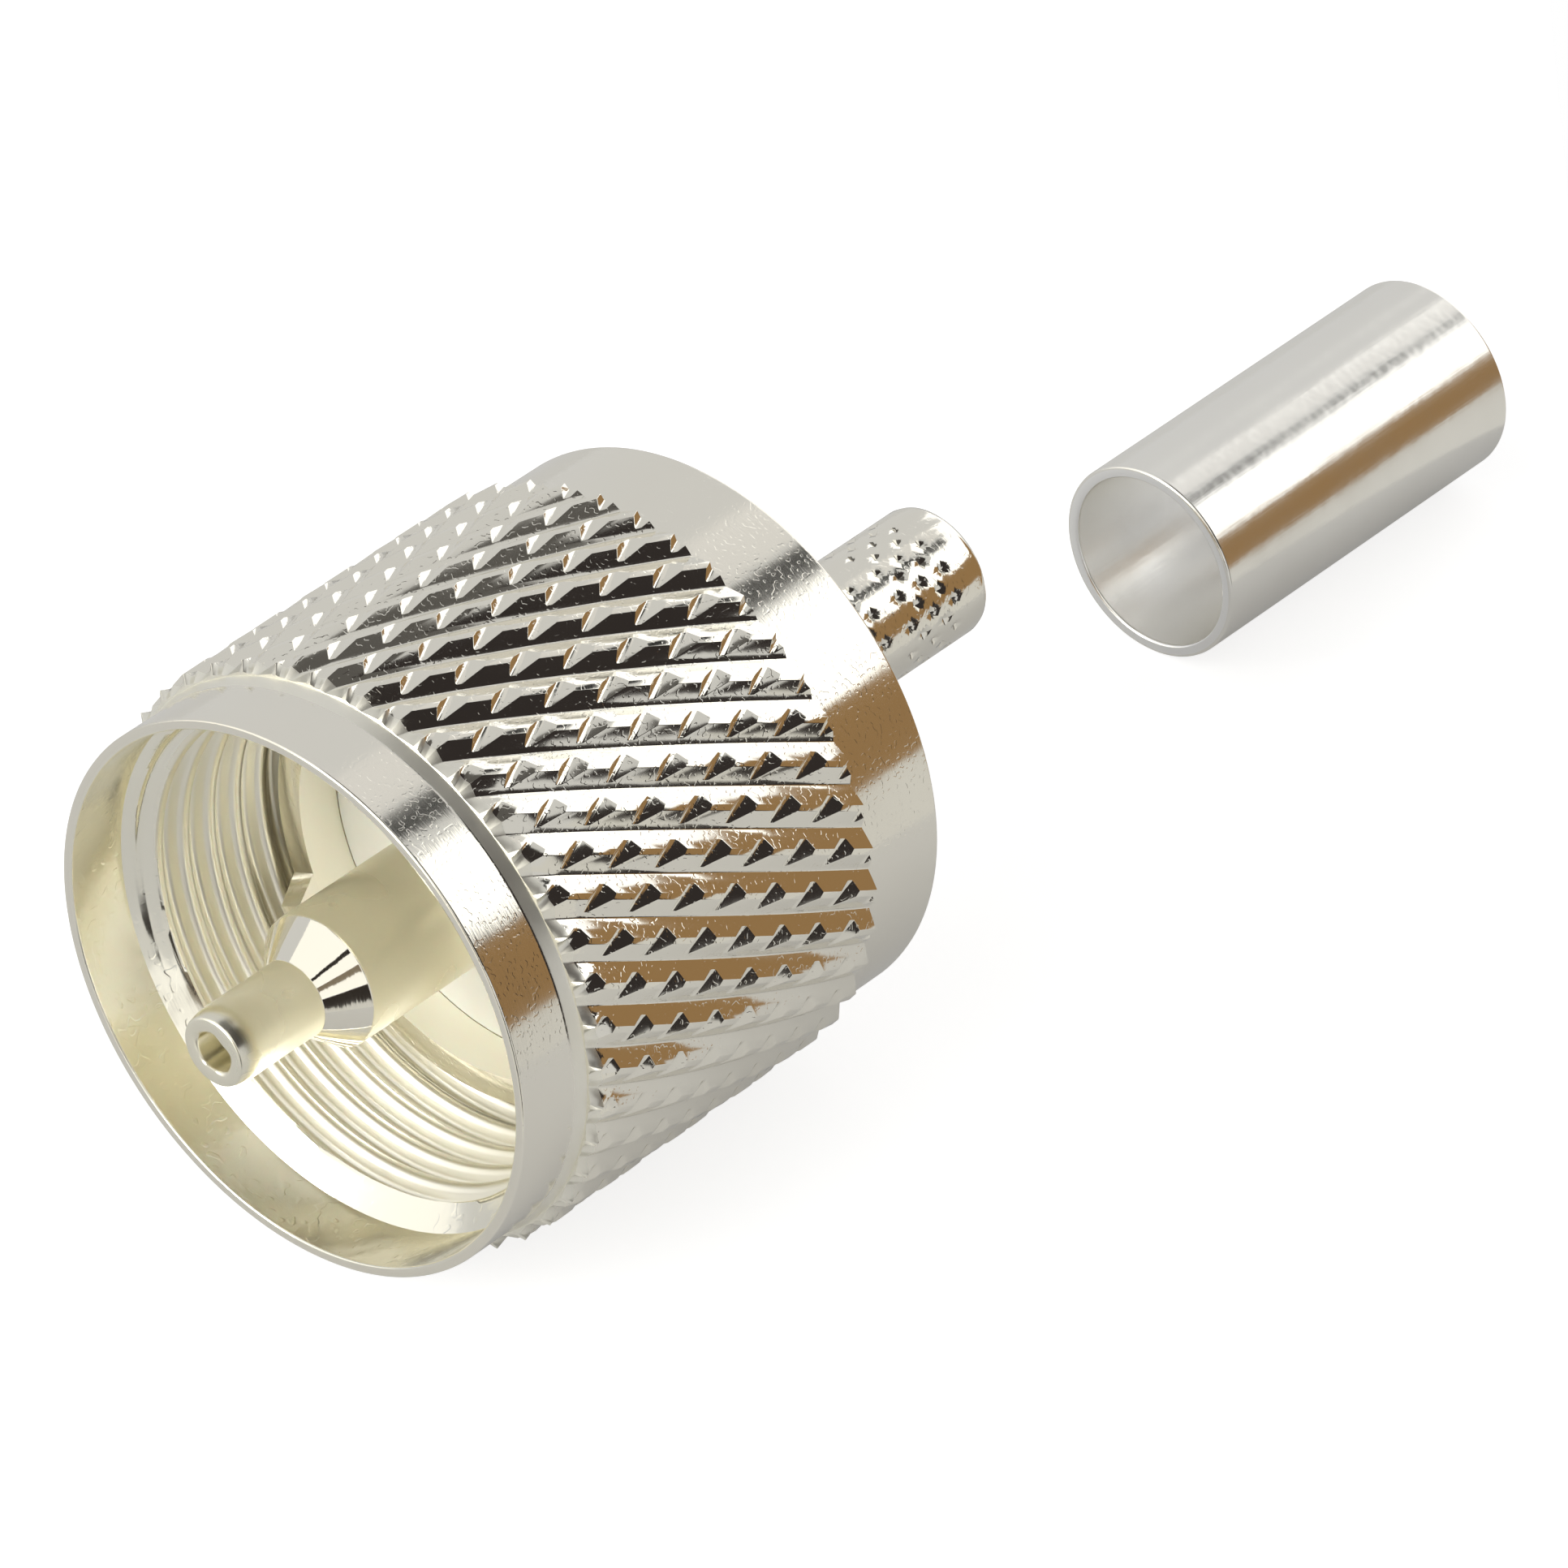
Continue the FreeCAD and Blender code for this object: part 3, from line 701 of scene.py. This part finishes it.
def centre_pin():
    bm = bmesh.new()
    turn(bm, [(PIN_TIP, PIN_BORE, MOUTH_EDGE), (PIN_TIP, PIN_TIP_RADIUS, TIP_EDGE),
              (PIN_TIP + PIN_TAPER, PIN_NOSE_RADIUS, TAPER_EDGE),
              (PIN_NOSE_END, PIN_NOSE_RADIUS, CONE_FOOT_EDGE),
              (PIN_CONE_END, PIN_RADIUS, CONE_TOP_EDGE), (INSULATOR_FRONT, PIN_RADIUS, 0),
              (INSULATOR_FRONT, PIN_STEM_RADIUS, 0), (PIN_STEM_END, PIN_STEM_RADIUS, 0),
              (PIN_STEM_END, PIN_BORE, 0)], closed=True)
    for vert in [v for v in bm.verts if v.co.x < PIN_TIP + RIM_DEPTH and radius_of(v.co) < RIM_RADIUS]:
        angle = turn_of(vert.co)
        fade = 1 - (vert.co.x - PIN_TIP) / RIM_DEPTH
        uneven = RIM_OVAL * math.sin(2 * angle + RIM_OVAL_TURN) + RIM_BUMPS * math.sin(5 * angle)
        grow = 1 + fade * uneven
        vert.co = (vert.co.x, vert.co.y * grow, vert.co.z * grow)
    paint_faces(bm, 1, lambda c: PIN_NOSE_END < c.x < PIN_CONE_END and radius_of(c) > PIN_NOSE_RADIUS)
    finish_piece(bm, "hollow_pin", "plug", "centre_pin",
                 [satin_silver, mirror_silver])


centre_pin()

# %% [markdown]
# ## The crimp ferrule
# The ferrule is a cut length of drawn tube with its edges tumbled round. It lies on the table
# behind the plug, so it is spun about the plug's axis and its mesh is then moved to its place, which
# is read from the solid's box.

# %% Make the ferrule
FERRULE_EDGE = 0.10
FERRULE_WALL = 0.39


def crimp_ferrule():
    low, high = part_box("crimp_ferrule")
    middle = (low + high) / 2 / MM
    front, back = low.x / MM, high.x / MM
    outer = (high.z - low.z) / 2 / MM
    inner = outer - FERRULE_WALL
    bm = bmesh.new()
    turn(bm, [(front, inner, FERRULE_EDGE), (front, outer, FERRULE_EDGE),
              (back, outer, FERRULE_EDGE), (back, inner, FERRULE_EDGE)], closed=True)
    bmesh.ops.translate(bm, verts=bm.verts, vec=(0, middle.y, middle.z))
    skin = outer - FERRULE_EDGE
    # the ends and the bore take the brighter silver, which is painted light inside the tube
    paint_faces(bm, 1, lambda c: c.x < front + TINY or c.x > back - TINY
                or math.hypot(c.y - middle.y, c.z - middle.z) < skin)
    finish_piece(bm, "drawn_ferrule", "ferrule", "crimp_ferrule",
                 [drawn_silver, tumbled_brightened_silver])


crimp_ferrule()

# %% [markdown]
# ## The insulator
# The insulator is turned from white fluoropolymer, a waxy plastic that lets a little light in. Its
# solid has the right shape already, so only its surface is new: a soft white with faint turning
# rings and a broad, dull sheen.

# %% The insulator's plastic
CLOUD_SIZE = 1.4             # millimetres across the faint clouds in its colour
RING_STEP = 2.4
RING_DEPTH = 0.002
LIGHT_DEPTH = 0.6            # how far light goes in


def fluoropolymer():
    material, tree = new_tree("turned fluoropolymer")
    place = add(tree, "ShaderNodeTexCoord")
    cloud = add(tree, "ShaderNodeTexNoise", {
        "Vector": place.outputs["Object"], "Scale": per_mm(CLOUD_SIZE), "Detail": 3.0})
    tint = add(tree, "ShaderNodeMix", {
        "Factor": cloud.outputs["Fac"], "A": linear("#EDEBE0"), "B": linear("#E5E1D2")},
        data_type="RGBA")
    rings = add(tree, "ShaderNodeTexWave", {
        "Vector": place.outputs["Object"], "Scale": per_mm(RING_STEP), "Distortion": 0.4},
        wave_type="RINGS", rings_direction="X")
    bump = add(tree, "ShaderNodeBump", {
        "Height": rings.outputs["Fac"], "Strength": 1.0, "Distance": RING_DEPTH * MM})
    shader = add(tree, "ShaderNodeBsdfPrincipled", {
        "Base Color": tint.outputs["Result"], "Roughness": 0.42, "IOR": 1.36,
        "Subsurface Weight": 0.15, "Subsurface Scale": LIGHT_DEPTH * MM,
        "Normal": bump.outputs["Normal"]})
    add(tree, "ShaderNodeOutputMaterial", {"Surface": shader.outputs["BSDF"]})
    return material


plastic = fluoropolymer()
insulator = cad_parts["insulator"]
insulator.data.materials.clear()
insulator.data.materials.append(plastic)
print("the insulator has", len(insulator.data.polygons), "faces")

# %% [markdown]
# ## The camera
# The view is from in front of the plug and above it, to the left of its axis, through a long lens.
# The heading is measured from the plug's axis, and the camera looks down by the tilt.

# %% Place the camera
CAMERA_PLACE = (-191.40, -184.26, 201.29)
CAMERA_HEADING = 41.0
CAMERA_TILT = 36.165
LENS = 279.91                # millimetres, on a sensor of the width below
SENSOR = 36
NEAREST = 0.01               # metres

camera_data = bpy.data.cameras.new("camera")
camera_data.lens = LENS
camera_data.sensor_width = SENSOR
camera_data.clip_start = NEAREST
camera = bpy.data.objects.new("camera", camera_data)
camera.location = Vector(CAMERA_PLACE) * MM
camera.rotation_euler = (math.radians(90 - CAMERA_TILT), 0, math.radians(CAMERA_HEADING - 90))
bpy.context.scene.collection.objects.link(camera)
bpy.context.scene.camera = camera
print("the camera stands", round(camera.location.length, 3), "m from the nut")

# %% [markdown]
# ## The studio
# A mirror shows the room, so the room matters more here than any lamp. This one is painted into the
# world as panels, each a range of directions: a grey table all round, pale walls and a strong window
# behind the camera that light the inside of the nut, a softbox and white screens that give the bright
# bands, wood low on the right, and dark shapes between them. The dark shapes make the knurl look like
# metal, because each flank is bright or black by what it faces. The curtain's lower end slants in
# small steps, close beside the directions that the grooves' lower flanks see, so that those stay
# pale while the small flanks next to them turn dark. Rays from the camera itself see plain white.

# %% Paint the room
ROOM_GREY = 0.635
DARK = (0.03, 0.025, 0.024)
DARK_BROWN = (0.03, 0.025, 0.022)
WOOD = (0.295, 0.178, 0.078)
PALE = (1.1, 1.08, 1.02)
WHITE = (1.3, 1.3, 1.3)
WINDOW = (8.0, 8.0, 7.9)

# Each panel: where it starts and ends, first by its heading from the plug's axis and then by its
# height above the horizon, in degrees, and its linear colour. Later panels cover earlier ones.
PANELS = {
    "table": (-180, 180, -90, -6, (0.64, 0.63, 0.60)),
    "pale wall behind the camera": (-180, -115, -6, 75, PALE),
    "pale wall to the left": (115, 180, -6, 75, PALE),
    "window": (150, 180, 10, 38, WINDOW),
    "window's other half": (-180, -174, 10, 38, WINDOW),
    "dim screen behind the camera": (-158, -128, 2, 28, (0.22, 0.18, 0.13)),
    "dark pole beside it": (-150, -144, -6, 50, DARK_BROWN),
    "dark table edge": (-142, -118, -34, 2, DARK_BROWN),
    "pale ceiling": (-4, 24, 45, 64, (0.72, 0.71, 0.70)),
    "dark lamp overhead": (-180, 180, 71, 90, (0.10, 0.095, 0.09)),
    "dark curtain": (-115, -47, 19, 77, DARK),
    "its lower end": (-75.9, -57, -1, 19, DARK),
    "its slant, first step": (-74, -57, -15, -1, DARK),
    "its slant, second step": (-71.8, -57, -27, -15, DARK),
    "its slant, third step": (-69, -54, -42, -27, DARK),
    "its slant, last step": (-62, -48, -56, -42, DARK),
    "wood": (-57, -38, -6, 21, WOOD),
    "wood to the right": (-38, -3, -18, 26.5, WOOD),
    "white wall": (-25, 20, 26.5, 46.5, WHITE),
    "low white screen": (-3, 37, 6, 31, WHITE),
    "softbox": (-51, -25, 21, 47, (1.55, 1.55, 1.52)),
    "dark frame": (-22, -8, 46.5, 56, (0.03, 0.03, 0.03)),
}


def paint_room():
    world = bpy.data.worlds.new("studio")
    world.use_nodes = True
    bpy.context.scene.world = world
    tree = world.node_tree
    tree.nodes.clear()
    direction = add(tree, "ShaderNodeTexCoord").outputs["Generated"]
    split = add(tree, "ShaderNodeSeparateXYZ", {"Vector": direction})
    heading = add(tree, "ShaderNodeMath", {0: split.outputs["Y"], 1: split.outputs["X"]},
                  operation="ARCTAN2").outputs[0]
    height = add(tree, "ShaderNodeMath", {0: split.outputs["Z"]}, operation="ARCSINE").outputs[0]
    colour = add(tree, "ShaderNodeRGB").outputs[0]
    colour.default_value = (ROOM_GREY, ROOM_GREY, ROOM_GREY, 1)
    for name, (left, right, bottom, top, paint) in PANELS.items():
        beside = add(tree, "ShaderNodeMath", {
            0: heading, 1: math.radians((left + right) / 2), 2: math.radians((right - left) / 2)},
            operation="COMPARE")
        level_with = add(tree, "ShaderNodeMath", {
            0: height, 1: math.radians((bottom + top) / 2), 2: math.radians((top - bottom) / 2)},
            operation="COMPARE")
        mask = add(tree, "ShaderNodeMath", {0: beside.outputs[0], 1: level_with.outputs[0]},
                   operation="MULTIPLY")
        colour = add(tree, "ShaderNodeMix", {
            "Factor": mask.outputs[0], "A": colour, "B": (*paint, 1)},
            data_type="RGBA", label=name).outputs["Result"]
    rays = add(tree, "ShaderNodeLightPath")
    seen = add(tree, "ShaderNodeMix", {
        "Factor": rays.outputs["Is Camera Ray"], "A": colour, "B": (1, 1, 1, 1)}, data_type="RGBA")
    light = add(tree, "ShaderNodeBackground", {"Color": seen.outputs["Result"], "Strength": 1.0})
    add(tree, "ShaderNodeOutputWorld", {"Surface": light.outputs["Background"]})


paint_room()
# Light bounces many times between the silver walls inside the nut
bpy.context.scene.cycles.max_bounces = 24
bpy.context.scene.cycles.glossy_bounces = 20
print("the room has", len(PANELS), "panels")

# %% [markdown]
# The floor is a grey sheet with a glow on top, so the plug's soft shadow stays on it. For the camera
# the glow lifts it to white. Metal and glass show it less bright, because the undersides of the nut
# and the ferrule reflect a greyer table than the white background. The sheet ends just outside the
# camera's view to the right and in front, so that the lower flanks there see the room's panels.

# %% Lay the floor
FLOOR_SIZE = 0.20            # metres, like the places of its right and its front edge
FLOOR_RIGHT = 0.038
FLOOR_FRONT = -0.015
FLOOR_GREY = "#B0B0B0"
LIFT_IN_VIEW = 0.78          # the glow that the camera sees on it
LIFT_IN_METAL = 0.19         # and the one that metal and glass show


def floor_material():
    material, tree = new_tree("pale floor")
    rays = add(tree, "ShaderNodeLightPath")
    mirrored = add(tree, "ShaderNodeMath", {
        0: rays.outputs["Is Glossy Ray"], 1: rays.outputs["Is Transmission Ray"]}, operation="ADD")
    lift = add(tree, "ShaderNodeMath", {0: mirrored.outputs[0], 1: LIFT_IN_METAL}, operation="MULTIPLY")
    lift = add(tree, "ShaderNodeMath", {
        0: rays.outputs["Is Camera Ray"], 1: LIFT_IN_VIEW, 2: lift.outputs[0]},
        operation="MULTIPLY_ADD")
    paint = add(tree, "ShaderNodeBsdfDiffuse", {"Color": linear(FLOOR_GREY)})
    glow = add(tree, "ShaderNodeEmission", {"Color": (1, 1, 1, 1), "Strength": lift.outputs[0]})
    both = add(tree, "ShaderNodeAddShader", {0: paint.outputs[0], 1: glow.outputs[0]})
    add(tree, "ShaderNodeOutputMaterial", {"Surface": both.outputs[0]})
    return material


floor_bm = bmesh.new()
bmesh.ops.create_grid(floor_bm, x_segments=1, y_segments=1, size=FLOOR_SIZE / 2)
bmesh.ops.translate(floor_bm, verts=floor_bm.verts, vec=(
    FLOOR_FRONT + FLOOR_SIZE / 2, FLOOR_SIZE / 2 - FLOOR_RIGHT, solid_box[0].z))
bmesh.ops.rotate(floor_bm, verts=floor_bm.verts, cent=CENTRE,
                 matrix=Matrix.Rotation(math.radians(CAMERA_HEADING), 3, "Z"))
floor_mesh = bpy.data.meshes.new("floor")
floor_bm.to_mesh(floor_mesh)
floor_bm.free()
floor_mesh.materials.append(floor_material())
floor = bpy.data.objects.new("floor", floor_mesh)
bpy.context.scene.collection.objects.link(floor)
print("the floor lies at", round(solid_box[0].z / MM, 2), "mm")

# %% [markdown]
# ## Colour
# The Standard view transform shows a colour as it is written.

# %% Finish
bpy.context.scene.view_settings.view_transform = "Standard"
